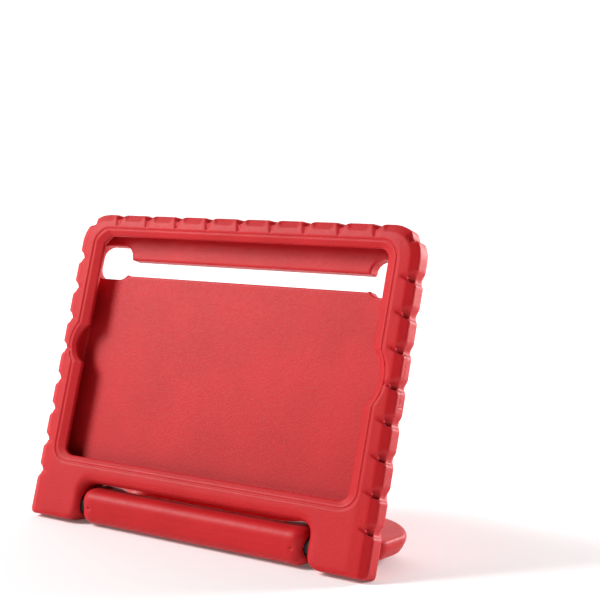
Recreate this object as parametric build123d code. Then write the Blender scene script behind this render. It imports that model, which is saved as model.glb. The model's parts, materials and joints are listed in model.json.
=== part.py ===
from build123d import *
import copy
import os
from math import asin, atan2, cos, degrees, hypot, radians, sin

# Foam tablet case with a folding carry handle that doubles as a stand.
# Everything is modelled in millimetres with the case lying on its back: +X along its
# width, +Y towards its top edge, +Z out of the screen side, and the origin at the centre
# of the held tablet's front glass.  stand_up() then stands the case up on its two legs and
# its folded handle, which is the rest pose.

# ---- held tablet: the size that sets the case's size ----
TABLET_LENGTH = 200.0
TABLET_WIDTH = 134.7
TABLET_THICKNESS = 7.2
POCKET_CLEARANCE = 0.3
POCKET_CORNER_R = 8.0
POCKET_SINK = 0.1

# ---- foam case: outline and thickness ----
HALF_WIDTH = 110.0
TOP_EDGE = 75.5
FRONT = 4.25
BACK = -14.75
CORNER_R = 17.0
DOME_IN = 11.0
SHOULDER_IN = 4.5
SHOULDER_LEVEL = 3.6
WALL_FRONT_LEVEL = 1.4
WALL_BACK_LEVEL = -6.5
RIDGE_IN = 5.0
RIDGE_LEVEL = -13.0
CROWN_IN = 21.4
CROWN_CORNER_R = 4.0
RUN_DOWN = 200.0
MARGIN = 1.0
TOUCH = 0.01

# ---- lip and its opening ----
OPENING_HALF_X = 92.6
OPENING_HALF_Y = 63.0
OPENING_CORNER_R = 5.5
OPENING_CHAMFER = 4.5
LIP_EDGE = 2.0
LIP_ABOVE = 0.5
LIP_BEVEL_X = 5.9
LIP_BEVEL_Y = 3.8
LIP_BEVEL_ROUND = 3.8
CAMERA_ARC_X = -86.4
CAMERA_ARC_Y = 0.4
CAMERA_ARC_R = 12.6
HOME_ARC_X = 78.4
HOME_ARC_Y = -1.5
HOME_ARC_R = 20.4

# ---- legs, recess and pivot ----
PIVOT_Y = -87.5
MID_LEVEL = (FRONT + BACK) / 2
LEG_LOW = -98.3
TOE_R = 2.5
HEEL_R = 8.0
HEEL_Y = -90.1
HEEL_LEVEL = BACK + HEEL_R
RECESS_HALF_X = 74.5
RECESS_Y = -76.0
RECESS_CORNER_R = 6.0
LEG_INNER_CORNER_R = 9.5
LEG_EDGE_R = 4.5
LEG_OUTER_CORNER_R = 3.5
FOOT_FLAT_DEPTH = 0.4

# ---- V notches round the rim ----
NOTCH_DEPTH = 1.9
NOTCH_FLOOR_HIGH = -0.6
NOTCH_FLOOR_LOW = -2.6
NOTCH_HIGH = 3.2
NOTCH_LOW = -3.9
NOTCH_APEX_IN = 8.0
NOTCH_APEX_RISE = 0.1
NOTCH_DEEP_LEVEL = 0.5
NOTCH_BACK_IN = 5.4
NOTCH_BACK_LEVEL = -13.2
NOTCH_REACH = 1.5
TOP_NOTCH_PITCH = 21.0
TOP_NOTCH_COUNT = 9
SIDE_NOTCH_TOP = 49.6
SIDE_NOTCH_PITCH = 17.7
SIDE_NOTCH_COUNT = 8

# ---- openings in the back ----
SLOT_LOW = 42.3
SLOT_HIGH = 51.5
SLOT_END_IN = 78.4
SLOT_END_OUT = 103.5
SLOT_END_LOW = 39.9
SLOT_END_HIGH = 59.4
SLOT_END_R = 7.0
SLOT_BLEND_R = 3.5
SPEAKER_X = 100.3
SPEAKER_R = 1.55
SPEAKER_END = -3.6
SPEAKER_OFFSETS = (17.2, 22.9, 28.6)

# ---- charging port window and its flap ----
PORT_Y = -1.0
FLAP_HALF_Y = 13.0
FLAP_INNER_X = 95.7
FLAP_SIDE_X = 103.2
FLAP_FLOOR = -10.0
FLAP_FRONT = -1.5
FLAP_GAP = 0.35
FLAP_CORNER_R = 3.4
PORT_HALF_Y = 7.0
PORT_WALL = 4.0
PORT_FRONT = -0.6
PORT_BACK = -6.6

# ---- button pads over the tablet's keys ----
PAD_LENGTH = 7.4
PAD_WIDTH = 4.6
PAD_GAP = 0.35
PAD_PROUD = 0.7
PAD_CHAMFER = 0.5
PAD_CORNER_R = 1.4
PAD_LEVEL = -3.6
PAD_TRAVEL = 1.0
VOLUME_PAD_X = (-70.2, -55.8)
POWER_PAD_Y = 41.3

# ---- handle: s runs from the pivot towards the grip ----
BAR_HALF_X = 72.8
BAR_LOW_S = -9.5
SHOULDER_LOW_S = 12.0
SHOULDER_HALF_X = 104.8
SHOULDER_CORNER_S = 31.0
SHOULDER_TOP_S = 51.5
GRIP_TOP_S = 66.2
GRIP_CURVE = ((63.0, 52.1), (46.0, 58.5), (27.0, 64.3))
HANDLE_HALF_T = 9.0
SHOULDER_HALF_T = 4.4
SHOULDER_TAPER = 0.2
HANDLE_EDGE_R = 5.5
BAR_CORNER_R = 7.0
SHOULDER_INNER_R = 7.0
SHOULDER_OUTER_R = 5.0
HOLE_HALF_X = 57.5
HOLE_LOW_S = 8.0
HOLE_HIGH_S = 39.5
HOLE_FLAT_HALF_X = 22.0
HOLE_CORNER_R = 12.0
FOLD_ANGLE = 104.5

# ---- hinge hardware ----
PIN_R = 4.0
PIN_INNER_X = 49.5
PIN_OUTER_X = 97.0
PIN_CHAMFER = 0.8
RUNNING_CLEARANCE = 0.06
INSERT_R = 6.0
INSERT_RIB_R = 6.9
INSERT_RIB_WIDTH = 1.8
INSERT_RIB_ANGLES = (90, 210, 330)
INSERT_SET_BACK = 2.0
BUSH_END_X = 98.5
SOCKET_END_X = 48.0
INSERT_FLOOR = 1.5
RING_R = 5.7
RING_END_GAP = 0.15
CROSS_PIN_X = 66.5
CROSS_PIN_R = 0.9
CROSS_PIN_LOW_S = -8.0
CROSS_PIN_HIGH_S = 6.0
SIDES = {"left": -1, "right": 1}


def prism(sketch, low, high):
    """Extrude a flat sketch from one level to another."""
    return extrude(Pos(0, 0, low) * sketch, high - low)


def rod(radius, x_from, x_to):
    """Round rod on the pivot axis between two X places."""
    length = x_to - x_from
    turned = Rot(0, 90, 0) * Cylinder(radius, abs(length))
    return Pos((x_from + x_to) / 2, PIVOT_Y, MID_LEVEL) * turned


def rim_section(inset, level, corner):
    """Outline of the case at one level, running on below its legs."""
    top = TOP_EDGE - inset
    height = top + RUN_DOWN
    sheet = Pos(0, top - height / 2) * Rectangle(2 * (HALF_WIDTH - inset), height)
    sheet = fillet(sheet.vertices().sort_by(Axis.Y)[-2:], corner)
    return Pos(0, 0, level) * sheet


def rim_blank():
    """Slab with a domed front edge, a side wall, a back bevel and a shallow crown."""
    sections = [
        rim_section(DOME_IN, FRONT, CORNER_R - DOME_IN),
        rim_section(SHOULDER_IN, SHOULDER_LEVEL, CORNER_R - SHOULDER_IN),
        rim_section(0, WALL_FRONT_LEVEL, CORNER_R),
        rim_section(0, WALL_BACK_LEVEL, CORNER_R),
        rim_section(RIDGE_IN, RIDGE_LEVEL, CORNER_R - RIDGE_IN),
        rim_section(CROWN_IN, BACK, CROWN_CORNER_R),
    ]
    blank = loft(sections[:2], ruled=True)
    for lower, upper in zip(sections[1:-1], sections[2:]):
        blank += loft([lower, upper], ruled=True)
    return blank


def lean_angle():
    """Backward lean of the case when its heels and the grip's edge meet the same floor."""
    reach = GRIP_TOP_S - HANDLE_EDGE_R
    inset = HANDLE_HALF_T - HANDLE_EDGE_R
    turn = radians(FOLD_ANGLE)
    back = reach * sin(turn) - inset * cos(turn) + HEEL_LEVEL - MID_LEVEL
    up = PIVOT_Y - reach * cos(turn) - inset * sin(turn) - HEEL_Y
    radius_gap = HEEL_R - FOOT_FLAT_DEPTH - HANDLE_EDGE_R
    return degrees(atan2(up, back) + asin(radius_gap / hypot(up, back)))


def leg_form():
    """Slab seen from its end, with a small round toe, a large round heel and a flat foot."""
    width = 2 * (HALF_WIDTH + MARGIN)
    toe = Pos(LEG_LOW + TOE_R, FRONT - TOE_R) * Circle(TOE_R)
    heel = Pos(HEEL_Y, HEEL_LEVEL) * Circle(HEEL_R)
    head = Pos(TOP_EDGE + MARGIN, MID_LEVEL) * Rectangle(MARGIN, FRONT - BACK)
    profile = make_hull(toe.edges() + heel.edges() + head.edges())
    form = extrude(Plane.YZ * profile, width / 2, both=True)
    below = Pos(0, 0, FOOT_FLAT_DEPTH - 2 * HEEL_R) * Box(width, 4 * HEEL_R, 2 * HEEL_R)
    return form - Pos(0, HEEL_Y, HEEL_LEVEL) * Rot(lean_angle() - 90, 0, 0) * below


def corner_cutter(x, y, radius, turn):
    """Tool that rounds one outside corner seen from the front."""
    side = radius + MARGIN
    square = Pos(side / 2, side / 2) * Rectangle(side, side)
    keep = Circle(radius)
    tool = Rot(0, 0, turn) * (square - keep)
    centre_x = x - radius * (cos(radians(turn)) - sin(radians(turn)))
    centre_y = y - radius * (sin(radians(turn)) + cos(radians(turn)))
    return prism(Pos(centre_x, centre_y) * tool, BACK - MARGIN, FRONT + MARGIN)


def legged_blank():
    """Slab with the space between its legs cut out and the edges of that space rounded."""
    depth = RECESS_Y + RUN_DOWN
    space = Pos(0, RECESS_Y - depth / 2) * Rectangle(2 * RECESS_HALF_X, depth)
    space = fillet(space.vertices().sort_by(Axis.Y)[-2:], RECESS_CORNER_R)
    solid = rim_blank() - prism(space, BACK - MARGIN, FRONT + MARGIN)
    near = solid.edges().filter_by_position(Axis.Y, MARGIN - RUN_DOWN, RECESS_Y + TOUCH)
    near = near.filter_by_position(Axis.X, -RECESS_HALF_X - TOUCH, RECESS_HALF_X + TOUCH)
    front_rims = near.filter_by_position(Axis.Z, FRONT - TOUCH, FRONT + TOUCH)
    back_rims = near.filter_by_position(Axis.Z, BACK - TOUCH, BACK + TOUCH)
    return fillet(front_rims + back_rims, LEG_EDGE_R)


def leg_corner_cuts():
    """Tools that round the lower corners of the legs."""
    return [
        corner_cutter(RECESS_HALF_X, LEG_LOW, LEG_INNER_CORNER_R, 180),
        corner_cutter(-RECESS_HALF_X, LEG_LOW, LEG_INNER_CORNER_R, -90),
        corner_cutter(HALF_WIDTH, LEG_LOW, LEG_OUTER_CORNER_R, -90),
        corner_cutter(-HALF_WIDTH, LEG_LOW, LEG_OUTER_CORNER_R, 180),
    ]


def notch_cutter():
    """V groove with a narrow floor, over a rim edge that faces +X at x = 0.

    It starts at a point on the domed front, reaches its full depth part way down the side
    wall, runs down the wall, and ends at a point on the back ridge.
    """
    front_apex = Vector(-NOTCH_APEX_IN, 0, FRONT + NOTCH_APEX_RISE)
    back_apex = Vector(-NOTCH_BACK_IN, 0, NOTCH_BACK_LEVEL)
    out = NOTCH_DEPTH * (NOTCH_REACH - 1)
    high = NOTCH_FLOOR_HIGH + (NOTCH_HIGH - NOTCH_FLOOR_HIGH) * NOTCH_REACH
    low = NOTCH_FLOOR_LOW + (NOTCH_LOW - NOTCH_FLOOR_LOW) * NOTCH_REACH
    start = NOTCH_DEEP_LEVEL + (WALL_FRONT_LEVEL - NOTCH_DEEP_LEVEL) * NOTCH_REACH
    section = [
        (out, high, start),
        (-NOTCH_DEPTH, NOTCH_FLOOR_HIGH, NOTCH_DEEP_LEVEL),
        (-NOTCH_DEPTH, NOTCH_FLOOR_LOW, NOTCH_DEEP_LEVEL),
        (out, low, start),
    ]
    front = [Vector(x, y, level) for x, y, level in section]
    back = [Vector(x, y, WALL_BACK_LEVEL) for x, y, level in section]
    rings = []
    for this, following in ((0, 1), (1, 2), (2, 3), (3, 0)):
        rings.append((front_apex, front[this], front[following]))
        rings.append((front[this], back[this], back[following], front[following]))
        rings.append((back_apex, back[following], back[this]))
    faces = [Face(Wire.make_polygon(ring, close=True)) for ring in rings]
    return Solid(Shell(faces))


def notches():
    """All the V grooves: along the top, down both ends and one over each top corner."""
    tool = notch_cutter()
    cuts = []
    first = -TOP_NOTCH_PITCH * (TOP_NOTCH_COUNT - 1) / 2
    for i in range(TOP_NOTCH_COUNT):
        cuts.append(Pos(first + i * TOP_NOTCH_PITCH, TOP_EDGE, 0) * Rot(0, 0, 90) * tool)
    for i in range(SIDE_NOTCH_COUNT):
        y = SIDE_NOTCH_TOP - i * SIDE_NOTCH_PITCH
        cuts.append(Pos(HALF_WIDTH, y, 0) * tool)
        cuts.append(Pos(-HALF_WIDTH, y, 0) * Rot(0, 0, 180) * tool)
    run = CORNER_R * (1 - cos(radians(45)))
    for side, turn in ((1, 45), (-1, 135)):
        place_at = Pos(side * (HALF_WIDTH - run), TOP_EDGE - run, 0)
        cuts.append(place_at * Rot(0, 0, turn) * tool)
    return cuts


def lip_section(grow, level):
    """Front opening, widened by a share of the lip bevel, at one level."""
    half_x = OPENING_HALF_X + grow * LIP_BEVEL_X
    half_y = OPENING_HALF_Y + grow * LIP_BEVEL_Y
    sheet = Rectangle(2 * half_x, 2 * half_y)
    corners = sheet.vertices().sort_by_distance(Vector(-half_x, half_y))
    sheet = fillet(corners[1:], OPENING_CORNER_R + grow * LIP_BEVEL_Y)
    cut_corner = sheet.vertices().sort_by_distance(Vector(-half_x, half_y))[0]
    return Pos(0, 0, level) * chamfer(cut_corner, OPENING_CHAMFER + grow * LIP_BEVEL_Y)


def lip_cuts():
    """Opening in the front lip, with the arcs round the camera and the home button."""
    rise = FRONT + LIP_ABOVE - LIP_EDGE
    grow = rise / (FRONT - LIP_EDGE)
    cuts = [
        prism(lip_section(0, 0), -MARGIN, LIP_EDGE),
        loft([lip_section(0, LIP_EDGE), lip_section(grow, LIP_EDGE + rise)], ruled=True),
    ]
    arcs = ((CAMERA_ARC_X, CAMERA_ARC_Y, CAMERA_ARC_R), (HOME_ARC_X, HOME_ARC_Y, HOME_ARC_R))
    for x, y, radius in arcs:
        flare = Cone(radius, radius + grow * LIP_BEVEL_ROUND, rise)
        cuts.append(Pos(x, y) * prism(Circle(radius), -MARGIN, LIP_EDGE))
        cuts.append(Pos(x, y, LIP_EDGE + rise / 2) * flare)
    return cuts


def pocket():
    """Space for the tablet."""
    clear = 2 * POCKET_CLEARANCE
    sheet = RectangleRounded(TABLET_LENGTH + clear, TABLET_WIDTH + clear, POCKET_CORNER_R)
    return prism(sheet, -TABLET_THICKNESS - POCKET_SINK, 0)


def back_slot():
    """Long slot in the back, widened at both ends."""
    band_height = SLOT_HIGH - SLOT_LOW
    band = Pos(0, (SLOT_HIGH + SLOT_LOW) / 2) * Rectangle(2 * (SLOT_END_IN + MARGIN), band_height)
    end_width = SLOT_END_OUT - SLOT_END_IN
    end_height = SLOT_END_HIGH - SLOT_END_LOW
    end = RectangleRounded(end_width, end_height, SLOT_END_R)
    end_x = (SLOT_END_IN + SLOT_END_OUT) / 2
    end_y = (SLOT_END_LOW + SLOT_END_HIGH) / 2
    sheet = band + Pos(end_x, end_y) * end + Pos(-end_x, end_y) * end
    return prism(sheet, BACK - MARGIN, -TABLET_THICKNESS)


def speaker_holes():
    """Two rows of round holes from the back to the tablet's speaker end."""
    hole = prism(Circle(SPEAKER_R), BACK - MARGIN, SPEAKER_END)
    places = [PORT_Y + side * offset for offset in SPEAKER_OFFSETS for side in (-1, 1)]
    return [Pos(SPEAKER_X, y, 0) * hole for y in places]


def flap_zone(gap):
    """L-shaped block of the right end wall and back that the port flap fills."""
    width = 2 * (HALF_WIDTH - FLAP_INNER_X + gap)
    height = 2 * (FLAP_HALF_Y + gap)
    column = Pos(HALF_WIDTH, PORT_Y) * RectangleRounded(width, height, FLAP_CORNER_R + gap)
    tall = prism(column, BACK - MARGIN, FLAP_FRONT + gap)
    corner = Rectangle(2 * (FLAP_SIDE_X - gap), 2 * height)
    return tall - prism(corner, FLAP_FLOOR + gap, FRONT)


def port_window():
    """Window through the inner layer of the end wall to the tablet's charging port."""
    sheet = Rectangle(2 * PORT_WALL, 2 * PORT_HALF_Y)
    return prism(Pos(FLAP_SIDE_X, PORT_Y) * sheet, PORT_BACK, PORT_FRONT)


def pad_form(gap, outer, inner):
    """Rounded key pad pointing +Z, between an inner and an outer level."""
    sheet = RectangleRounded(PAD_LENGTH + 2 * gap, PAD_WIDTH + 2 * gap, PAD_CORNER_R + gap)
    return prism(sheet, inner, outer)


def top_pad(x, gap, outer, inner):
    """Pad form set in the top wall."""
    form = pad_form(gap, TOP_EDGE + outer, TABLET_WIDTH / 2 + inner)
    return Pos(x, 0, PAD_LEVEL) * Rot(-90, 0, 0) * form


def end_pad(y, gap, outer, inner):
    """Pad form set in the left end wall."""
    form = pad_form(gap, HALF_WIDTH + outer, TABLET_LENGTH / 2 + inner)
    return Pos(0, y, PAD_LEVEL) * Rot(0, -90, 0) * Rot(0, 0, 90) * form


def insert_form(side, face_x, end_x):
    """Ribbed plug shape of a leg bush or a handle socket, between two distances from the middle."""
    start, stop = sorted((side * face_x, side * end_x))
    solid = rod(INSERT_R, start, stop)
    for angle in INSERT_RIB_ANGLES:
        rib = Pos(0, INSERT_RIB_R / 2, 0) * Box(stop - start, INSERT_RIB_R, INSERT_RIB_WIDTH)
        middle = Pos((start + stop) / 2, PIVOT_Y, MID_LEVEL)
        solid += middle * Rot(angle, 0, 0) * rib
    return solid


def bush_space(side):
    """Hole in a leg for its bush, with a set-back mouth for the friction ring."""
    face_x = RECESS_HALF_X + INSERT_SET_BACK
    mouth = rod(INSERT_R, *sorted((side * (RECESS_HALF_X - MARGIN), side * face_x)))
    return insert_form(side, face_x, BUSH_END_X) + mouth


def socket_space(side):
    """Hole in a bar end for its socket, with a set-back mouth for the friction ring."""
    face_x = BAR_HALF_X - INSERT_SET_BACK
    mouth = rod(INSERT_R, *sorted((side * (BAR_HALF_X + MARGIN), side * face_x)))
    return insert_form(side, face_x, SOCKET_END_X) + mouth


def case_body():
    """Moulded foam case: back, rim, front lip and the two legs in one piece."""
    solid = legged_blank() & leg_form()
    for cut in leg_corner_cuts() + notches() + lip_cuts() + speaker_holes():
        solid -= cut
    solid -= pocket()
    solid -= back_slot()
    solid -= flap_zone(FLAP_GAP)
    solid -= port_window()
    for x in VOLUME_PAD_X:
        solid -= top_pad(x, PAD_GAP, MARGIN, 0)
    solid -= end_pad(POWER_PAD_Y, PAD_GAP, MARGIN, 0)
    for side in SIDES.values():
        solid -= bush_space(side)
    return solid


def port_flap():
    """Foam flap over the charging port, cut from the end wall and the back."""
    solid = (rim_blank() & leg_form()) & flap_zone(0)
    for i in range(SIDE_NOTCH_COUNT):
        y = SIDE_NOTCH_TOP - i * SIDE_NOTCH_PITCH
        solid -= Pos(HALF_WIDTH, y, 0) * notch_cutter()
    return solid


def volume_pad(x):
    """Raised foam pad over one volume key."""
    solid = top_pad(x, 0, PAD_PROUD, POCKET_CLEARANCE)
    return chamfer(solid.faces().sort_by(Axis.Y)[-1].edges(), PAD_CHAMFER)


def power_pad():
    """Raised foam pad over the power key."""
    solid = end_pad(POWER_PAD_Y, 0, PAD_PROUD, POCKET_CLEARANCE)
    return chamfer(solid.faces().sort_by(Axis.X)[0].edges(), PAD_CHAMFER)


def handle_outline():
    """Outline of the handle, drawn with s along +Y."""
    round_x = SHOULDER_HALF_X - (SHOULDER_TOP_S - SHOULDER_CORNER_S)
    corner_r = SHOULDER_TOP_S - SHOULDER_CORNER_S
    lean = cos(radians(45))
    right = Curve() + [
        Line((0, BAR_LOW_S), (BAR_HALF_X, BAR_LOW_S)),
        Line((BAR_HALF_X, BAR_LOW_S), (BAR_HALF_X, SHOULDER_LOW_S)),
        Line((BAR_HALF_X, SHOULDER_LOW_S), (SHOULDER_HALF_X, SHOULDER_LOW_S)),
        Line((SHOULDER_HALF_X, SHOULDER_LOW_S), (SHOULDER_HALF_X, SHOULDER_CORNER_S)),
        ThreePointArc(
            (SHOULDER_HALF_X, SHOULDER_CORNER_S),
            (round_x + corner_r * lean, SHOULDER_CORNER_S + corner_r * lean),
            (round_x, SHOULDER_TOP_S),
        ),
        Spline(
            (round_x, SHOULDER_TOP_S),
            *GRIP_CURVE,
            (0, GRIP_TOP_S),
            tangents=[(-1, 0), (-1, 0)],
        ),
    ]
    left = mirror(right, about=Plane.YZ)
    sheet = make_face(Wire((right + left).edges()))
    rounds = (
        (BAR_HALF_X, BAR_LOW_S, BAR_CORNER_R),
        (BAR_HALF_X, SHOULDER_LOW_S, SHOULDER_INNER_R),
        (SHOULDER_HALF_X, SHOULDER_LOW_S, SHOULDER_OUTER_R),
    )
    for x, y, radius in rounds:
        for corner in (Vector(x, y), Vector(-x, y)):
            sheet = fillet(sheet.vertices().sort_by_distance(corner)[0], radius)
    return sheet


def hole_outline():
    """Outline of the hand hole: flat below, arched above."""
    right = Curve() + [
        Line((0, HOLE_LOW_S), (HOLE_HALF_X - HOLE_CORNER_R, HOLE_LOW_S)),
        RadiusArc(
            (HOLE_HALF_X - HOLE_CORNER_R, HOLE_LOW_S),
            (HOLE_HALF_X, HOLE_LOW_S + HOLE_CORNER_R),
            -HOLE_CORNER_R,
        ),
        Spline(
            (HOLE_HALF_X, HOLE_LOW_S + HOLE_CORNER_R),
            (HOLE_FLAT_HALF_X, HOLE_HIGH_S),
            tangents=[(0, 1), (-1, 0)],
        ),
        Line((HOLE_FLAT_HALF_X, HOLE_HIGH_S), (0, HOLE_HIGH_S)),
    ]
    left = mirror(right, about=Plane.YZ)
    return make_face(Wire((right + left).edges()))


def shoulder_profile():
    """Plan of the handle's thickness: full over the bar, thinner towards the shoulders."""
    end_x = SHOULDER_HALF_X + MARGIN
    right = Curve() + [
        Line((0, HANDLE_HALF_T), (BAR_HALF_X, HANDLE_HALF_T)),
        Spline(
            (BAR_HALF_X, HANDLE_HALF_T),
            (end_x, SHOULDER_HALF_T),
            tangents=[(1, 0), (1, -SHOULDER_TAPER)],
        ),
        Line((end_x, SHOULDER_HALF_T), (end_x, 0)),
        Line((end_x, 0), (0, 0)),
        Line((0, 0), (0, HANDLE_HALF_T)),
    ]
    quarter = make_face(Wire(right.edges()))
    half = quarter + mirror(quarter, about=Plane.YZ)
    return half + mirror(half, about=Plane.XZ)


def handle_blank():
    """Rounded handle with its hand hole, along +Y, before the hinge holes."""
    sheet = handle_outline() - hole_outline()
    blank = prism(sheet, -HANDLE_HALF_T, HANDLE_HALF_T)
    rims = blank.edges().group_by(Axis.Z)
    blank = fillet(rims[0] + rims[-1], HANDLE_EDGE_R)
    plan = shoulder_profile()
    length = GRIP_TOP_S - BAR_LOW_S + 2 * MARGIN
    walls = Pos(0, BAR_LOW_S - MARGIN, 0) * Rot(-90, 0, 0) * extrude(plan, length)
    return blank & walls


def handle_grip():
    """Moulded foam handle, pointing away from the legs as when it is carried."""
    solid = Pos(0, PIVOT_Y, MID_LEVEL) * Rot(180, 0, 0) * handle_blank()
    for side in SIDES.values():
        solid -= socket_space(side)
        solid -= cross_hole(side, CROSS_PIN_R, BAR_LOW_S - MARGIN, CROSS_PIN_HIGH_S + MARGIN)
    return solid


def cross_hole(side, radius, low_s, high_s):
    """Round form across a bar end, along s."""
    middle = PIVOT_Y - (low_s + high_s) / 2
    turned = Rot(90, 0, 0) * Cylinder(radius, high_s - low_s)
    return Pos(side * CROSS_PIN_X, middle, MID_LEVEL) * turned


def cross_bore(side):
    """Round hole for a cross pin, right through a socket or a hinge pin."""
    reach = INSERT_RIB_R + MARGIN
    return cross_hole(side, CROSS_PIN_R + RUNNING_CLEARANCE / 2, -reach, reach)


def hinge_pin(side):
    """Steel pin from the handle's socket into the leg's bush, with a cross hole."""
    solid = rod(PIN_R, *sorted((side * PIN_INNER_X, side * PIN_OUTER_X)))
    solid = chamfer(solid.edges().filter_by(GeomType.CIRCLE), PIN_CHAMFER)
    return solid - cross_bore(side)


def leg_bush(side):
    """Ribbed plastic bush set in a leg, blind at its outer end."""
    face_x = RECESS_HALF_X + INSERT_SET_BACK
    bore_ends = sorted((side * (face_x - MARGIN), side * (BUSH_END_X - INSERT_FLOOR)))
    solid = insert_form(side, face_x, BUSH_END_X)
    return solid - rod(PIN_R + RUNNING_CLEARANCE, *bore_ends)


def handle_socket(side):
    """Ribbed plastic socket set in a bar end, blind at its inner end."""
    face_x = BAR_HALF_X - INSERT_SET_BACK
    bore_ends = sorted((side * (face_x + MARGIN), side * (SOCKET_END_X + INSERT_FLOOR)))
    solid = insert_form(side, face_x, SOCKET_END_X)
    solid -= rod(PIN_R + RUNNING_CLEARANCE / 2, *bore_ends)
    return solid - cross_bore(side)


def friction_ring(side):
    """Rubber ring on the pin that fills the gap between the socket and the bush."""
    inner_x = BAR_HALF_X - INSERT_SET_BACK + RING_END_GAP
    outer_x = RECESS_HALF_X + INSERT_SET_BACK - RING_END_GAP
    body = rod(RING_R, *sorted((side * inner_x, side * outer_x)))
    bore_ends = sorted((side * (inner_x - MARGIN), side * (outer_x + MARGIN)))
    bore = rod(PIN_R + RUNNING_CLEARANCE / 2, *bore_ends)
    return body - bore


def cross_pins():
    """Two small steel pins that lock the sockets and hinge pins in the handle."""
    ends = (CROSS_PIN_LOW_S, CROSS_PIN_HIGH_S)
    pins = [cross_hole(side, CROSS_PIN_R, *ends) for side in SIDES.values()]
    return Compound(children=[pin.solid() for pin in pins])


def fold(shape):
    """Turn a handle piece about the pivot from the carry position to the stand position."""
    about = Pos(0, PIVOT_Y, MID_LEVEL)
    return about * Rot(FOLD_ANGLE, 0, 0) * about.inverse() * shape


def assembly():
    """Every node by name, standing on its legs and folded handle."""
    fixed = {"case_body": case_body(), "port_flap": port_flap(), "power_pad": power_pad()}
    for name, x in zip(("volume_up_pad", "volume_down_pad"), VOLUME_PAD_X):
        fixed[name] = volume_pad(x)
    swung = {"handle_grip": handle_grip(), "cross_pins": cross_pins()}
    for name, side in SIDES.items():
        fixed["leg_bush_" + name] = leg_bush(side)
        swung["handle_socket_" + name] = handle_socket(side)
        swung["hinge_pin_" + name] = hinge_pin(side)
        swung["friction_ring_" + name] = friction_ring(side)
    return {**fixed, **{name: fold(shape) for name, shape in swung.items()}}


def stand_up(nodes):
    """Stand the nodes on the floor, with the centre of their base at the origin."""
    turn = Rot(90 - lean_angle(), 0, 0)
    turned = {name: turn * shape for name, shape in nodes.items()}
    box = Compound(children=[copy.copy(shape) for shape in turned.values()]).bounding_box()
    shift = Pos(-box.center().X, -box.center().Y, -box.min.Z)
    return shift * turn, {name: shift * shape for name, shape in turned.items()}


os.makedirs("parts", exist_ok=True)
frame, nodes = stand_up(assembly())
for name, shape in nodes.items():
    export_step(shape, f"parts/{name}.step")

pivot = (frame * Pos(0, PIVOT_Y, MID_LEVEL)).position
print("lean", round(lean_angle(), 3), "pivot", pivot)
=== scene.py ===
import json
import math

import bpy
import numpy as np
from mathutils import Matrix, Vector


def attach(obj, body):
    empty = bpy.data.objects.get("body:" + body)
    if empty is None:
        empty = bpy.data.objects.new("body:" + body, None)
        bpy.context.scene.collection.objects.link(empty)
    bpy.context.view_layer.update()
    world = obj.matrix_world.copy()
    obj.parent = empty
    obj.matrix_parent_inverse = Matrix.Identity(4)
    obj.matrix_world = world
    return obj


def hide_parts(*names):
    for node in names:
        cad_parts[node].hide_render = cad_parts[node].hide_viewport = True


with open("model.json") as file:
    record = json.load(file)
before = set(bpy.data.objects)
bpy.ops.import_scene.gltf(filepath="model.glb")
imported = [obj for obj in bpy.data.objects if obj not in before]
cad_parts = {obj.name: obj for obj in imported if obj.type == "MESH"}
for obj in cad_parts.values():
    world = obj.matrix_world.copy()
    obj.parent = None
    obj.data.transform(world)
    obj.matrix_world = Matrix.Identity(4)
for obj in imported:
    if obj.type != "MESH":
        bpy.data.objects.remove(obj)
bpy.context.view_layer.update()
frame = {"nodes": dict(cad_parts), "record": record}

# Looks of the foam tablet case: its foam mouldings, hinge hardware, floor, light and camera.
# Lengths are in metres in the row frame.  The foam's surface detail is worked out in the
# case's own axes: x across its width, u up its leaning back and w out of its screen side,
# from the centre of the held tablet's glass.

MM = 0.001

record = frame["record"]
joints = {joint["name"]: joint for joint in record["behaviour"]["joints"]}
mounts = {mount["name"]: mount for mount in record["mounts"]}

# ---- the case's own axes, from the record ----
ACROSS = np.array((1.0, 0.0, 0.0))
UP = -np.array(joints["volume_up_press"]["axis"])
OUT = np.cross(ACROSS, UP)
CASE_AXES = np.array((ACROSS, UP, OUT))
FLOOR_TO_GLASS = 7.3 * MM
REST_BELOW_CENTRE = 20.0 * MM
CASE_ORIGIN = (
    np.array(mounts["tablet_rest"]["pos_m"]) + REST_BELOW_CENTRE * UP + FLOOR_TO_GLASS * OUT
)

# ---- the handle's own axes: s from the pivot to the grip, t out of its upper side at rest ----
PIVOT = np.array(joints["handle_fold"]["pos_m"])
FOLD = math.radians(joints["handle_fold"]["range_deg"][1])
ALONG = -math.cos(FOLD) * UP - math.sin(FOLD) * OUT
HANDLE_AXES = np.array((ACROSS, ALONG, np.cross(ACROSS, ALONG)))

# ---- case sizes that the surface detail follows ----
HALF_WIDTH = 110.0 * MM
TOP_EDGE = 75.5 * MM
FRONT = 4.25 * MM
BACK = -14.75 * MM
RECESS_HALF_X = 74.5 * MM
RECESS_LEVEL = -76.0 * MM

# ---- notches in the rim: where they are, and the V carved on the dome at each ----
TOP_NOTCH_PITCH = 21.0 * MM
TOP_NOTCH_REACH = 4
TOP_NOTCH_SPAN = 90.0 * MM
SIDE_NOTCH_PITCH = 17.7 * MM
SIDE_NOTCH_TOP = 49.6 * MM
SIDE_NOTCH_COUNT = 8
DOME_FACING = 0.12
DOME_LEVEL = -1.0 * MM
NOTCH_HIGH = 3.6 * MM
NOTCH_LOW = 4.2 * MM
SIDE_VALLEY = -2.6 * MM
TOP_VALLEY = 0.0
LEAST_SLOPE_RUN = 0.1 * MM
CARVE_RUN = 9.6 * MM
CARVE_DEPTH = 1.5 * MM
CARVE_FULL = 0.55
CARVE_EASE = 0.6
CARVE_EASE_FROM = 0.7
TOP_SHARE = 0.5

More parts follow.
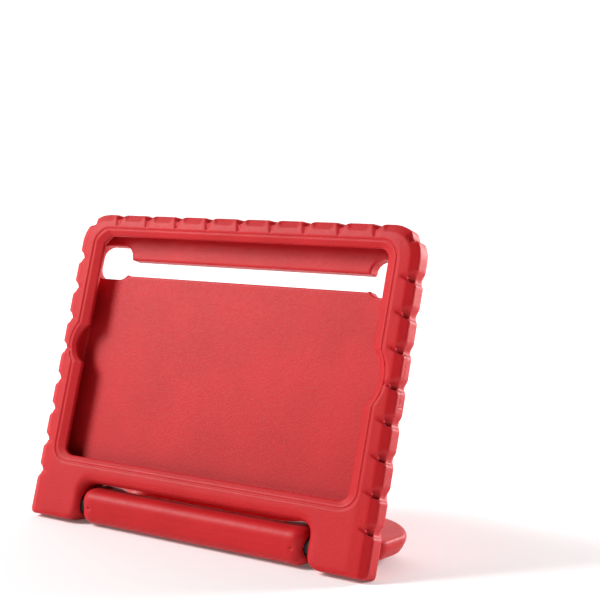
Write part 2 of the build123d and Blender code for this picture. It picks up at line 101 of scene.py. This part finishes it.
# ---- how far the notches are filled up again at the top wall ----
TOP_FILL = 0.65
TOP_FILL_ACROSS = (3.0 * MM, 6.0 * MM)
TOP_FILL_BELOW = (5.0 * MM, 2.0 * MM)

# ---- crease round the lip ----
CREASE_HALF_X = 98.5 * MM
CREASE_HALF_U = 66.8 * MM
CREASE_CORNER_R = 9.3 * MM
CREASE_DEPTH = 0.8 * MM
CREASE_WIDTH = 0.6 * MM
CREASE_LAYER = 1.5 * MM
CREASE_FACING = 0.5
CAMERA_ARC = (-86.4 * MM, 0.4 * MM, 16.4 * MM)
HOME_ARC = (78.4 * MM, -1.5 * MM, 24.2 * MM)

# ---- charging port flap: a block cut in from the back, less the inner layer of the wall ----
FLAP_MIDDLE = -1.0 * MM
FLAP_HALF = 13.0 * MM
FLAP_INNER = 95.7 * MM
FLAP_SIDE = 103.2 * MM
FLAP_FLOOR = -10.0 * MM
FLAP_FRONT = -1.5 * MM
FLAP_CORNER = 3.4 * MM
FLAP_CORNER_STEPS = 5
FLAP_SLIT = 0.15 * MM
FLAP_FILL = 0.35 * MM
FLAP_BEYOND = 5.0 * MM
INNER_BEYOND = 10.0 * MM

# ---- raised zigzags on the back, whose corners are in millimetres ----
RIB_HALF_WIDTH = 2.5 * MM
RIB_RISE = 0.5 * MM
RIB_EDGE = 0.6 * MM
RIB_LAYER = 5.0 * MM
RIB_FACING = -0.6
FAR_AWAY = 1.0
SIDE_CHEVRONS = (
    ((98.7, -84.3), (89.3, -74.7), (99.8, -63.1)),
    ((89.3, -56.5), (99.8, -47.1), (89.3, -38.8)),
    ((92.7, -27.3), (88.2, -20.2), (93.6, -13.0)),
    ((90.0, -4.0), (93.0, 6.8), (90.0, 16.6)),
    ((92.7, 28.3), (88.2, 34.5), (91.5, 37.5)),
)

# ---- finger marks on the grip: centre, half width and height of each ----
FINGER_MARKS = (
    (-21.5 * MM, 8.5 * MM, 9.0 * MM),
    (0.0, 8.5 * MM, 12.5 * MM),
    (21.5 * MM, 8.5 * MM, 9.0 * MM),
)
FINGER_LEVEL = 39.5 * MM
FINGER_DEPTH = 0.45 * MM
FINGER_BELOW = 2.0 * MM
FINGER_FACING = -0.5
FINGER_RIM = (0.82, 1.0)
FINGER_HOLLOW = (0.0, 0.9)

# ---- rest of the handle's surface ----
WING_TUCK = 5.0 * MM
WING_TUCK_LEVEL = 13.0 * MM
WING_TUCK_X = (84.0 * MM, 105.0 * MM)
HANDLE_FILL = 0.2 * MM
END_EXTRA_FILL = 2.0
LINE_RISE = 0.16 * MM
LINE_WIDTH = 0.45 * MM
LINE_END_X = (56.0 * MM, 62.0 * MM)
LINE_BELOW_PIVOT = 8.0 * MM
LINE_FACING = -0.8

# ---- zones with softer edges: where each starts and ends ----
SOFT_SIDE = (4.0 * MM, 9.0 * MM)
SOFT_TOP = (3.0 * MM, 7.0 * MM)
SOFT_BEYOND = 6.0 * MM
END_FROM_PIN = (6.3 * MM, 8.5 * MM)
END_X = (60.0 * MM, 68.0 * MM)
ZONE_PASSES = 30
ZONE_STEPS = 4

# ---- foam meshes ----
CASE_VOXEL = 0.62 * MM
HANDLE_VOXEL = 0.6 * MM
SMALL_VOXEL = 0.3 * MM
CASE_PASSES = 2
HANDLE_PASSES = 4
SMALL_PASSES = 5
SMOOTH_FACTOR = 0.5
MOST_TRIANGLES = 195_000

# ---- foam looks: each noise is its scale and detail ----
FOAM_DARK = (0.46, 0.007, 0.010, 1)
FOAM_LIGHT = (0.52, 0.010, 0.014, 1)
CLOUD_NOISE = (28.0, 4.0)
CLOUD_FROM, CLOUD_TO = 0.35, 0.65
# painted highlight: a paler red mixed onto the convex edges of the foam
FOAM_EDGE_HIGHLIGHT = (0.62, 0.03, 0.045, 1)
EDGE_HIGHLIGHT_SHARE = 0.5
EDGE_HIGHLIGHT_FROM, EDGE_HIGHLIGHT_TO = 0.505, 0.60
GRAIN_NOISE = (420.0, 5.0)
GRAIN_SHARE = 0.5
PEBBLE_SCALE = 950.0
PEBBLE_STRENGTH = 0.22
PEBBLE_DEPTH = 0.25 * MM
FOAM_ROUGHNESS = (0.42, 0.58)
FOAM_SPECULAR = 0.25
SHEEN = 0.06
SHEEN_ROUGHNESS = 0.35
SHEEN_TINT = (1.0, 0.7, 0.78, 1)

# ---- looks of the hinge's hardware ----
HARD_DETAIL = 6.0
HARD_BUMP_STRENGTH = 0.25
HARD_BUMP_DEPTH = 0.1 * MM
DRAWN_ALONG_X = (1, 14, 14)

# ---- light: the lamps are name, place, size and power ----
WORLD_STRENGTH = 1.4
SWEEP_DIRECTION = (-0.593, 0.805, 0.0)
SWEEP_GREY = (0.06, 0.06, 0.06, 1)
SWEEP_FROM, SWEEP_TO = 0.3, 0.7
SUN_TRAVEL = (0.8, 0.65, -0.85)
SUN_STRENGTH = 2.2
SUN_ANGLE = math.radians(22)
LAMPS = (
    ("left", (-0.75, -0.75, 0.6), 0.5, 7.0),
    ("rim", (1.0, 1.5, 0.6), 0.7, 44.0),
)
LAMP_TARGET = (0.0, 0.0, 0.07)
FLOOR_SIZE = 80.0
FLOOR_PALE = (0.95, 0.95, 0.95, 1)
FLOOR_ROUGHNESS = 0.75
FLOOR_GLOW_REACH = (0.15, 1.2)
FLOOR_GLOW = (0.08, 0.4)
WHITE = (1, 1, 1, 1)
BLACK = (0, 0, 0, 1)

# ---- camera ----
CAMERA_PLACE = Vector((0.44087, -0.60178, 0.19043))
CAMERA_YAW = math.radians(36.36)
CAMERA_TILT = math.radians(83.88)
CAMERA_ROLL = math.radians(0.79)
CAMERA_LENS = 84.69
CAMERA_SHIFT = (0.125, 0.05)
CAMERA_CLIP = (0.01, 50.0)


def smoothstep(low, high, value):
    """0 below low, 1 above high, and smooth between."""
    t = np.clip((value - low) / (high - low), 0.0, 1.0)
    return t * t * (3.0 - 2.0 * t)


def to_axes(points, origin, axes):
    return (points - origin) @ axes.T


def read_points(mesh):
    points = np.empty(len(mesh.vertices) * 3)
    mesh.vertices.foreach_get("co", points)
    return points.reshape(-1, 3)


def read_normals(mesh):
    normals = np.empty(len(mesh.vertices) * 3)
    mesh.vertex_normals.foreach_get("vector", normals)
    return normals.reshape(-1, 3)


def write_points(mesh, points):
    mesh.vertices.foreach_set("co", np.ascontiguousarray(points, dtype=float).ravel())
    mesh.update()


def baked(obj):
    """Replace an object's mesh with the result of its modifiers."""
    depsgraph = bpy.context.evaluated_depsgraph_get()
    result = bpy.data.meshes.new_from_object(obj.evaluated_get(depsgraph))
    obj.modifiers.clear()
    obj.data = result


def segment_distance(points, start, end):
    """Distance of 2-D points from one segment."""
    start, end = np.array(start), np.array(end)
    along = end - start
    t = np.clip((points - start) @ along / (along @ along), 0.0, 1.0)
    return np.linalg.norm(points - start - t[:, None] * along, axis=1)


def rounded_rect_distance(points, half_x, half_y, radius):
    """Signed distance of 2-D points from a rounded rectangle centred on the origin."""
    q = np.abs(points) - np.array((half_x - radius, half_y - radius))
    outside = np.linalg.norm(np.maximum(q, 0.0), axis=1)
    return outside + np.minimum(q.max(axis=1), 0.0) - radius


def carved(run, across, valley):
    """Depth of one V on the domed front: run is 0 at its point and 1 at the case's edge."""
    high, low, valley = NOTCH_HIGH * run, -NOTCH_LOW * run, valley * run
    upper = (high - across) / np.maximum(high - valley, LEAST_SLOPE_RUN)
    lower = (across - low) / np.maximum(valley - low, LEAST_SLOPE_RUN)
    share = np.clip(np.minimum(upper, lower), 0.0, 1.0)
    ease = 1.0 - CARVE_EASE * smoothstep(CARVE_EASE_FROM, 1.0, run)
    return CARVE_DEPTH * share * smoothstep(0.0, CARVE_FULL, run) * ease


def notch_carving(case, normals):
    """Sharpens the V notches where they cross the domed front of the rim."""
    x, u, w = case.T
    front = (normals[:, 2] > DOME_FACING) & (w > DOME_LEVEL)
    side_run = np.clip((np.abs(x) - HALF_WIDTH + CARVE_RUN) / CARVE_RUN, 0.0, 1.0)
    number = np.clip(np.round((SIDE_NOTCH_TOP - u) / SIDE_NOTCH_PITCH), 0, SIDE_NOTCH_COUNT - 1)
    side_across = u - (SIDE_NOTCH_TOP - number * SIDE_NOTCH_PITCH)
    top_run = np.clip((u - TOP_EDGE + CARVE_RUN) / CARVE_RUN, 0.0, 1.0)
    column = np.clip(np.round(x / TOP_NOTCH_PITCH), -TOP_NOTCH_REACH, TOP_NOTCH_REACH)
    top_across = x - column * TOP_NOTCH_PITCH
    depth = carved(side_run, side_across, SIDE_VALLEY)
    depth += TOP_SHARE * carved(top_run, top_across, TOP_VALLEY)
    return np.where(front, -depth, 0.0)


def top_fill(case):
    """Lift along u that makes the notches shallower where they cross the top wall."""
    x, u = case.T[:2]
    across = np.abs(x - np.round(x / TOP_NOTCH_PITCH) * TOP_NOTCH_PITCH)
    near = (1.0 - smoothstep(*TOP_FILL_ACROSS, across)) * (np.abs(x) < TOP_NOTCH_SPAN)
    high = smoothstep(TOP_EDGE - TOP_FILL_BELOW[0], TOP_EDGE - TOP_FILL_BELOW[1], u)
    return TOP_FILL * (TOP_EDGE - u) * near * high


def lip_crease(case, normals):
    """Shallow groove round the front opening where its bevel starts."""
    flat = case[:, :2]
    distance = rounded_rect_distance(flat, CREASE_HALF_X, CREASE_HALF_U, CREASE_CORNER_R)
    for x, u, radius in (CAMERA_ARC, HOME_ARC):
        distance = np.minimum(distance, np.linalg.norm(flat - (x, u), axis=1) - radius)
    front = (case[:, 2] > FRONT - CREASE_LAYER) & (normals[:, 2] > CREASE_FACING)
    groove = CREASE_DEPTH * np.exp(-((distance / CREASE_WIDTH) ** 2))
    return np.where(front, -groove, 0.0)


def back_zigzags(case, normals):
    """Raised chevrons down both sides of the back."""
    flat = np.stack((np.abs(case[:, 0]), case[:, 1]), axis=1)
    distance = np.full(len(case), FAR_AWAY)
    for chevron in SIDE_CHEVRONS:
        corners = [np.array(corner) * MM for corner in chevron]
        for start, end in zip(corners[:-1], corners[1:]):
            distance = np.minimum(distance, segment_distance(flat, start, end))
    back = (normals[:, 2] < RIB_FACING) & (case[:, 2] < BACK + RIB_LAYER)
    height = RIB_RISE * (1.0 - smoothstep(RIB_HALF_WIDTH - RIB_EDGE, RIB_HALF_WIDTH, distance))
    return np.where(back, height, 0.0)


def case_detail(points, normals):
    """How far every point of the case foam moves for its notches, crease and zigzags."""
    case = to_axes(points, CASE_ORIGIN, CASE_AXES)
    turned = normals @ CASE_AXES.T
    height = lip_crease(case, turned) + back_zigzags(case, turned)
    height += notch_carving(case, turned)
    return normals * height[:, None] + top_fill(case)[:, None] * UP


def soft_zone(points):
    """How much each point belongs to the soft inner edges of the legs and the recess."""
    x, u = to_axes(points, CASE_ORIGIN, CASE_AXES).T[:2]
    near_side = 1.0 - smoothstep(*SOFT_SIDE, np.abs(np.abs(x) - RECESS_HALF_X))
    near_top = 1.0 - smoothstep(*SOFT_TOP, np.abs(u - RECESS_LEVEL))
    below = 1.0 - smoothstep(RECESS_LEVEL, RECESS_LEVEL + SOFT_BEYOND, u)
    inside = 1.0 - smoothstep(RECESS_HALF_X, RECESS_HALF_X + SOFT_BEYOND, np.abs(x))
    return np.maximum(near_side * below, near_top * inside)


def end_zone(points):
    """How much each point belongs to the soft bar ends and shoulders of the handle."""
    x, s, t = to_axes(points, PIVOT, HANDLE_AXES).T
    from_pin = smoothstep(*END_FROM_PIN, np.hypot(s, t))
    return smoothstep(*END_X, np.abs(x)) * from_pin


def handle_detail(points, normals):
    """How far every point of the handle moves: it is filled out again after its smoothing,
    and gets its finger marks, moulding line and tucked wings."""
    fill = HANDLE_FILL * (1.0 + END_EXTRA_FILL * end_zone(points))
    height = fill + finger_marks(points, normals)
    return normals * height[:, None] + bar_line(points, normals) + wing_tuck(points)


def wing_tuck(points):
    """Draws the corners of the handle's wings that are low at rest inwards."""
    tuck = np.zeros(points.shape)
    low = 1.0 - smoothstep(0.0, WING_TUCK_LEVEL, points[:, 2])
    out = smoothstep(*WING_TUCK_X, np.abs(points[:, 0]))
    tuck[:, 0] = -np.sign(points[:, 0]) * WING_TUCK * low * out
    return tuck


def finger_marks(points, normals):
    """Shallow shell-shaped dents beside the hand hole, on the face that is down at rest."""
    x, s = to_axes(points, PIVOT, HANDLE_AXES).T[:2]
    under = (normals @ HANDLE_AXES[2] < FINGER_FACING) & (s > FINGER_LEVEL - FINGER_BELOW)
    height = np.zeros(len(points))
    for middle, half_width, rise in FINGER_MARKS:
        reach = np.hypot((x - middle) / half_width, (s - FINGER_LEVEL) / rise)
        inside = 1.0 - smoothstep(*FINGER_RIM, reach)
        height -= FINGER_DEPTH * inside * smoothstep(*FINGER_HOLLOW, reach)
    return np.where(under, height, 0.0)


def bar_line(points, normals):
    """Fine moulding line along the face of the handle bar that faces forward."""
    x, s, t = to_axes(points, PIVOT, HANDLE_AXES).T
    face = (normals @ HANDLE_AXES[1] < LINE_FACING) & (s < -LINE_BELOW_PIVOT)
    ends = 1.0 - smoothstep(*LINE_END_X, np.abs(x))
    ridge = LINE_RISE * np.exp(-((t / LINE_WIDTH) ** 2)) * ends
    return normals * np.where(face, ridge, 0.0)[:, None]


def soften_zone(piece, weights, passes):
    """Smooth a mesh only where its weights say."""
    group = piece.vertex_groups.new(name="soft")
    steps = np.round(weights * ZONE_STEPS).astype(int)
    for step in range(1, ZONE_STEPS + 1):
        members = np.flatnonzero(steps == step).tolist()
        group.add(members, step / ZONE_STEPS, "REPLACE")
    soften = piece.modifiers.new("soft edges", "SMOOTH")
    soften.factor = SMOOTH_FACTOR
    soften.iterations = passes
    soften.vertex_group = group.name
    baked(piece)
    piece.vertex_groups.clear()


def new_piece(name, points, faces):
    mesh = bpy.data.meshes.new(name)
    mesh.from_pydata(points, [], faces)
    piece = bpy.data.objects.new(name, mesh)
    bpy.context.scene.collection.objects.link(piece)
    return piece


def flap_block(grow):
    """Closed block with the flap's outline on the back, reaching in from the end wall."""
    outline = []
    half_x = HALF_WIDTH - FLAP_INNER + grow
    half_u = FLAP_HALF + grow
    radius = FLAP_CORNER + grow
    for turn in range(4):
        for step in range(FLAP_CORNER_STEPS + 1):
            angle = math.radians(90 * (turn + step / FLAP_CORNER_STEPS))
            sign_x = 1 if turn in (0, 3) else -1
            sign_u = 1 if turn in (0, 1) else -1
            outline.append((
                HALF_WIDTH + sign_x * (half_x - radius) + radius * math.cos(angle),
                FLAP_MIDDLE + sign_u * (half_u - radius) + radius * math.sin(angle),
            ))
    count = len(outline)
    low, high = BACK - FLAP_BEYOND, FLAP_FRONT + grow
    points = [(x, u, low) for x, u in outline] + [(x, u, high) for x, u in outline]
    faces = [tuple(range(count))[::-1], tuple(range(count, 2 * count))]
    for this in range(count):
        after = (this + 1) % count
        faces.append((this, after, after + count, this + count))
    return new_piece("flap_block", points, faces)


def inner_block(grow):
    """Closed block of the end wall's inner layer, which stays with the case."""
    near, far = FLAP_INNER - INNER_BEYOND, FLAP_SIDE - grow
    low_u, high_u = FLAP_MIDDLE - 2 * FLAP_HALF, FLAP_MIDDLE + 2 * FLAP_HALF
    low_w, high_w = FLAP_FLOOR + grow, FLAP_FRONT + FLAP_BEYOND
    corners = [
        (x, u, w) for w in (low_w, high_w) for u in (low_u, high_u) for x in (near, far)
    ]
    faces = [(0, 2, 3, 1), (4, 5, 7, 6), (0, 1, 5, 4), (2, 6, 7, 3), (0, 4, 6, 2), (1, 3, 7, 5)]
    return new_piece("inner_block", corners, faces)


def cut(piece, tool, operation):
    """Subtract a second closed shape, or keep only what both share."""
    change = piece.modifiers.new("cut", "BOOLEAN")
    change.object = tool
    change.operation = operation
    change.solver = "EXACT"
    baked(piece)


def flap_shape(grow):
    """The whole L-shaped form of the flap, in world places."""
    block, inner = flap_block(grow), inner_block(grow)
    cut(block, inner, "DIFFERENCE")
    bpy.data.objects.remove(inner)
    write_points(block.data, read_points(block.data) @ CASE_AXES + CASE_ORIGIN)
    return block


def part_flap(case, flap):
    """Split the flap off the case moulding along a thin slit."""
    for piece, grow, operation in ((case, FLAP_SLIT, "DIFFERENCE"), (flap, 0.0, "INTERSECT")):
        tool = flap_shape(grow)
        cut(piece, tool, operation)
        bpy.data.objects.remove(tool)


def filled_case(axes):
    """Points and faces of the case body with its flap grown inwards to close the gap round it."""
    points, faces = [], []
    for node, grow in (("case_body", 0.0), ("port_flap", FLAP_FILL)):
        mesh = frame["nodes"][node].data
        start = len(points)
        turned = read_normals(mesh) @ axes.T
        turned[:, 0] = np.minimum(turned[:, 0], 0.0)
        turned[:, 2] = np.maximum(turned[:, 2], 0.0)
        points.extend(read_points(mesh) @ axes.T + turned * grow)
        faces.extend([tuple(start + i for i in face.vertices) for face in mesh.polygons])
    return points, faces


def foam_shape(node, name, voxel, passes, detail=None, axes=CASE_AXES, zone=None):
    """Soft-edged foam moulding made from a CAD node's shape."""
    if node == "case_body":
        piece = new_piece(name, *filled_case(axes))
    else:
        mesh = frame["nodes"][node].data
        faces = [tuple(face.vertices) for face in mesh.polygons]
        piece = new_piece(name, read_points(mesh) @ axes.T, faces)
    remesh = piece.modifiers.new("voxels", "REMESH")
    remesh.mode = "VOXEL"
    remesh.voxel_size = voxel
    remesh.use_smooth_shade = True
    soften = piece.modifiers.new("soften", "SMOOTH")
    soften.factor = SMOOTH_FACTOR
    soften.iterations = passes
    baked(piece)
    write_points(piece.data, read_points(piece.data) @ axes)
    if zone is not None:
        soften_zone(piece, zone(read_points(piece.data)), ZONE_PASSES)
    points = read_points(piece.data)
    if detail is not None:
        write_points(piece.data, points + detail(points, read_normals(piece.data)))
    triangles = 2 * len(piece.data.polygons)
    if triangles > MOST_TRIANGLES:
        thin = piece.modifiers.new("thin", "DECIMATE")
        thin.ratio = MOST_TRIANGLES / triangles
        baked(piece)
    return piece


def finish_foam(piece, node, body, foam):
    """Give a foam piece its material and smooth shading, hang it on the body it moves with, and
    hide the CAD part it stands in for.
    """
    piece.data.materials.clear()
    piece.data.materials.append(foam)
    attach(piece, body)
    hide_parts(node)
    for polygon in piece.data.polygons:
        polygon.use_smooth = True


def new_material(name):
    material = bpy.data.materials.new(name)
    material.use_nodes = True
    tree = material.node_tree
    return material, tree.nodes, tree.links, tree.nodes["Principled BSDF"]


def noise_of(nodes, links, vector, scale, detail):
    noise = nodes.new("ShaderNodeTexNoise")
    noise.inputs["Scale"].default_value = scale
    noise.inputs["Detail"].default_value = detail
    links.new(vector, noise.inputs["Vector"])
    return noise.outputs["Fac"]


def ramp_of(nodes, links, value, low, high, dark, light):
    """Colour that goes from dark at low to light at high."""
    ramp = nodes.new("ShaderNodeValToRGB")
    ends = ramp.color_ramp.elements
    ends[0].position, ends[0].color = low, dark
    ends[1].position, ends[1].color = high, light
    links.new(value, ramp.inputs["Fac"])
    return ramp.outputs["Color"]


def range_of(nodes, links, value, low, high, start=0.0, end=1.0):
    """Value that goes from low at start to high at end."""
    spread = nodes.new("ShaderNodeMapRange")
    spread.inputs["From Min"].default_value = start
    spread.inputs["From Max"].default_value = end
    spread.inputs["To Min"].default_value = low
    spread.inputs["To Max"].default_value = high
    links.new(value, spread.inputs["Value"])
    return spread.outputs["Result"]


def add_bump(nodes, links, shader, height, strength, distance):
    bump = nodes.new("ShaderNodeBump")
    bump.inputs["Strength"].default_value = strength
    bump.inputs["Distance"].default_value = distance
    links.new(height, bump.inputs["Height"])
    links.new(bump.outputs["Normal"], shader.inputs["Normal"])


def foam_material():
    """Satin red EVA foam: pebbled skin, cloudy colour and paler convex edges, a painted highlight.
    """
    material, nodes, links, shader = new_material("red_foam")
    place = nodes.new("ShaderNodeTexCoord").outputs["Object"]
    cloud = noise_of(nodes, links, place, *CLOUD_NOISE)
    colour = ramp_of(nodes, links, cloud, CLOUD_FROM, CLOUD_TO, FOAM_DARK, FOAM_LIGHT)
    # Painted highlight: convex edges, found by their pointiness, get the paler red mixed in.
    pointed = nodes.new("ShaderNodeNewGeometry").outputs["Pointiness"]
    edge_highlight = ramp_of(nodes, links, pointed, EDGE_HIGHLIGHT_FROM, EDGE_HIGHLIGHT_TO, BLACK, WHITE)
    amount = nodes.new("ShaderNodeMath")
    amount.operation = "MULTIPLY"
    amount.inputs[1].default_value = EDGE_HIGHLIGHT_SHARE
    links.new(edge_highlight, amount.inputs[0])
    paler = nodes.new("ShaderNodeMix")
    paler.data_type = "RGBA"
    paler.inputs["B"].default_value = FOAM_EDGE_HIGHLIGHT
    links.new(amount.outputs[0], paler.inputs["Factor"])
    links.new(colour, paler.inputs["A"])
    links.new(paler.outputs["Result"], shader.inputs["Base Color"])
    pebble = nodes.new("ShaderNodeTexVoronoi")
    pebble.feature = "SMOOTH_F1"
    pebble.inputs["Scale"].default_value = PEBBLE_SCALE
    links.new(place, pebble.inputs["Vector"])
    grain = noise_of(nodes, links, place, *GRAIN_NOISE)
    height = nodes.new("ShaderNodeMath")
    height.operation = "MULTIPLY_ADD"
    height.inputs[1].default_value = GRAIN_SHARE
    links.new(grain, height.inputs[0])
    links.new(pebble.outputs["Distance"], height.inputs[2])
    add_bump(nodes, links, shader, height.outputs[0], PEBBLE_STRENGTH, PEBBLE_DEPTH)
    links.new(range_of(nodes, links, grain, *FOAM_ROUGHNESS), shader.inputs["Roughness"])
    shader.inputs["Specular IOR Level"].default_value = FOAM_SPECULAR
    shader.inputs["Sheen Weight"].default_value = SHEEN
    shader.inputs["Sheen Roughness"].default_value = SHEEN_ROUGHNESS
    shader.inputs["Sheen Tint"].default_value = SHEEN_TINT
    return material


def hard_material(name, dark, light, gloss, metallic, scale, stretch=(1, 1, 1)):
    """Plastic, rubber or metal with streaky or cloudy colour, gloss and fine bump."""
    material, nodes, links, shader = new_material(name)
    mapping = nodes.new("ShaderNodeMapping")
    mapping.inputs["Scale"].default_value = stretch
    place = nodes.new("ShaderNodeTexCoord").outputs["Object"]
    links.new(place, mapping.inputs["Vector"])
    noise = noise_of(nodes, links, mapping.outputs["Vector"], scale, HARD_DETAIL)
    colour = ramp_of(nodes, links, noise, 0.0, 1.0, (*dark, 1), (*light, 1))
    links.new(colour, shader.inputs["Base Color"])
    links.new(range_of(nodes, links, noise, *gloss), shader.inputs["Roughness"])
    add_bump(nodes, links, shader, noise, HARD_BUMP_STRENGTH, HARD_BUMP_DEPTH)
    shader.inputs["Metallic"].default_value = metallic
    return material


def floor_material():
    """Pale floor that glows a little, and more so far away, so that it fades to white."""
    material, nodes, links, shader = new_material("pale_floor")
    shader.inputs["Base Color"].default_value = FLOOR_PALE
    shader.inputs["Roughness"].default_value = FLOOR_ROUGHNESS
    shader.inputs["Specular IOR Level"].default_value = 0.0
    shader.inputs["Emission Color"].default_value = WHITE
    reach = nodes.new("ShaderNodeVectorMath")
    reach.operation = "LENGTH"
    links.new(nodes.new("ShaderNodeTexCoord").outputs["Object"], reach.inputs[0])
    glow = range_of(nodes, links, reach.outputs["Value"], *FLOOR_GLOW, *FLOOR_GLOW_REACH)
    links.new(glow, shader.inputs["Emission Strength"])
    return material


def give(node, material):
    """Put a material on a CAD node that stays in view."""
    for slot in frame["nodes"][node].material_slots:
        slot.material = material


def add_floor():
    bpy.ops.mesh.primitive_plane_add(size=FLOOR_SIZE, location=(0, 0, 0))
    floor = bpy.context.object
    floor.name = "floor"
    floor.data.materials.append(floor_material())


def add_lamp(name, place, size, power):
    """Square lamp that shines at the middle of the case."""
    data = bpy.data.lights.new(name, "AREA")
    data.shape = "SQUARE"
    data.size = size
    data.energy = power
    lamp = bpy.data.objects.new(name, data)
    bpy.context.scene.collection.objects.link(lamp)
    lamp.location = place
    aim = Vector(LAMP_TARGET) - Vector(place)
    lamp.rotation_euler = aim.to_track_quat("-Z", "Y").to_euler()


def add_sun():
    """Large soft key light, high in front and to the left."""
    data = bpy.data.lights.new("key", "SUN")
    data.energy = SUN_STRENGTH
    data.angle = SUN_ANGLE
    sun = bpy.data.objects.new("key", data)
    bpy.context.scene.collection.objects.link(sun)
    sun.rotation_euler = Vector(SUN_TRAVEL).to_track_quat("-Z", "Y").to_euler()


def add_world():
    """Studio surroundings: a white sweep behind the case that falls off to grey in front."""
    world = bpy.data.worlds.new("studio")
    bpy.context.scene.world = world
    world.use_nodes = True
    nodes, links = world.node_tree.nodes, world.node_tree.links
    toward = nodes.new("ShaderNodeVectorMath")
    toward.operation = "DOT_PRODUCT"
    toward.inputs[1].default_value = SWEEP_DIRECTION
    links.new(nodes.new("ShaderNodeTexCoord").outputs["Generated"], toward.inputs[0])
    facing = toward.outputs["Value"]
    colour = ramp_of(nodes, links, facing, SWEEP_FROM, SWEEP_TO, SWEEP_GREY, WHITE)
    background = nodes["Background"]
    links.new(colour, background.inputs["Color"])
    background.inputs["Strength"].default_value = WORLD_STRENGTH


def add_camera():
    """Camera at the photo's viewing angle."""
    data = bpy.data.cameras.new("camera")
    data.lens = CAMERA_LENS
    data.shift_x, data.shift_y = CAMERA_SHIFT
    data.clip_start, data.clip_end = CAMERA_CLIP
    camera = bpy.data.objects.new("camera", data)
    bpy.context.scene.collection.objects.link(camera)
    turn = (
        Matrix.Rotation(CAMERA_YAW, 4, "Z")
        @ Matrix.Rotation(CAMERA_TILT, 4, "X")
        @ Matrix.Rotation(CAMERA_ROLL, 4, "Z")
    )
    camera.matrix_world = Matrix.Translation(CAMERA_PLACE) @ turn
    bpy.context.scene.camera = camera


bpy.context.scene.view_settings.view_transform = "Standard"
add_camera()
add_world()
add_floor()
add_sun()
for lamp in LAMPS:
    add_lamp(*lamp)

foam = foam_material()
case = foam_shape(
    "case_body", "case_foam", CASE_VOXEL, CASE_PASSES, case_detail, CASE_AXES, soft_zone
)
flap = bpy.data.objects.new("flap_foam", case.data.copy())
bpy.context.scene.collection.objects.link(flap)
part_flap(case, flap)
finish_foam(case, "case_body", "case", foam)
finish_foam(flap, "port_flap", "port_cover", foam)
handle = foam_shape(
    "handle_grip", "handle_foam", HANDLE_VOXEL, HANDLE_PASSES, handle_detail, HANDLE_AXES, end_zone
)
finish_foam(handle, "handle_grip", "handle", foam)
for button in ("volume_up", "volume_down", "power"):
    pad = foam_shape(button + "_pad", button + "_foam", SMALL_VOXEL, SMALL_PASSES)
    finish_foam(pad, button + "_pad", button, foam)

plastic = hard_material(
    "grey_nylon", (0.018, 0.018, 0.02), (0.035, 0.035, 0.037), (0.45, 0.6), 0.0, 180.0
)
rubber = hard_material(
    "ring_rubber", (0.010, 0.010, 0.010), (0.022, 0.021, 0.020), (0.6, 0.75), 0.0, 260.0
)
steel = hard_material(
    "drawn_steel", (0.52, 0.52, 0.53), (0.68, 0.68, 0.69), (0.22, 0.38), 1.0, 90.0, DRAWN_ALONG_X
)
for side in ("left", "right"):
    give("leg_bush_" + side, plastic)
    give("handle_socket_" + side, plastic)
    give("friction_ring_" + side, rubber)
    give("hinge_pin_" + side, steel)
give("cross_pins", steel)
